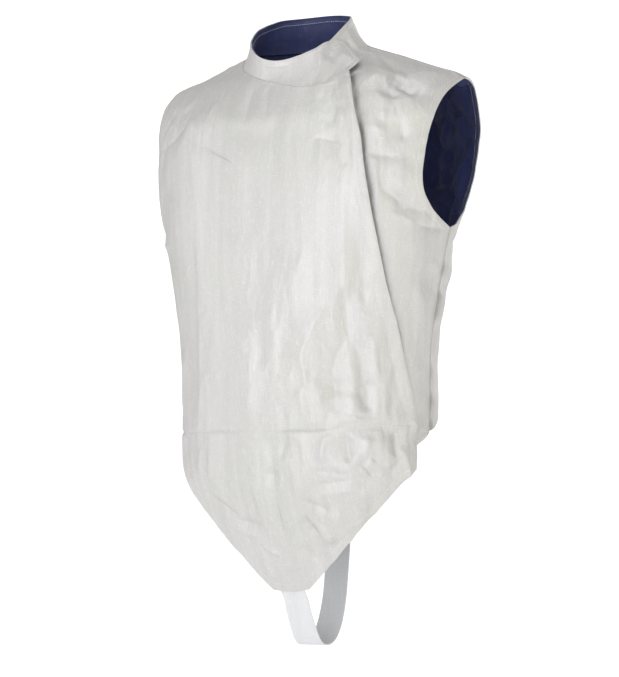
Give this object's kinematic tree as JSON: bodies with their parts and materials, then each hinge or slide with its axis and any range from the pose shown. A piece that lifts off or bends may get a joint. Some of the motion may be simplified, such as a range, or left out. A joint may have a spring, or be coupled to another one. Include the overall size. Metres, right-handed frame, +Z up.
{
  "type": "fencing lame",
  "caption": "Sleeveless metallic vest in its hollow worn form, with a stand collar, a crossed front with a free edge, a pointed front lobe and an elastic strap between the legs.",
  "frame": {"origin": "midway between the two shoulders, level with the points where the shoulders meet the neck", "axes": "+Z up, the wearer faces -Y, the wearer's left side is +X"},
  "size_m": [0.4014, 0.2454, 0.7642],
  "materials": {
    "lame": "light silver-grey metallic cloth with a satin sheen and fine vertical slubs",
    "navy": "matt navy blue lining cloth",
    "elastic": "matt white ribbed elastic"
  },
  "bodies": {
    "root": {"front_right": "lame", "front_lobe": "lame", "front_left": "lame", "back": "lame", "collar": "lame", "lining_back": "navy", "lining_collar": "navy", "strap": "elastic"}
  },
  "joints": []
}
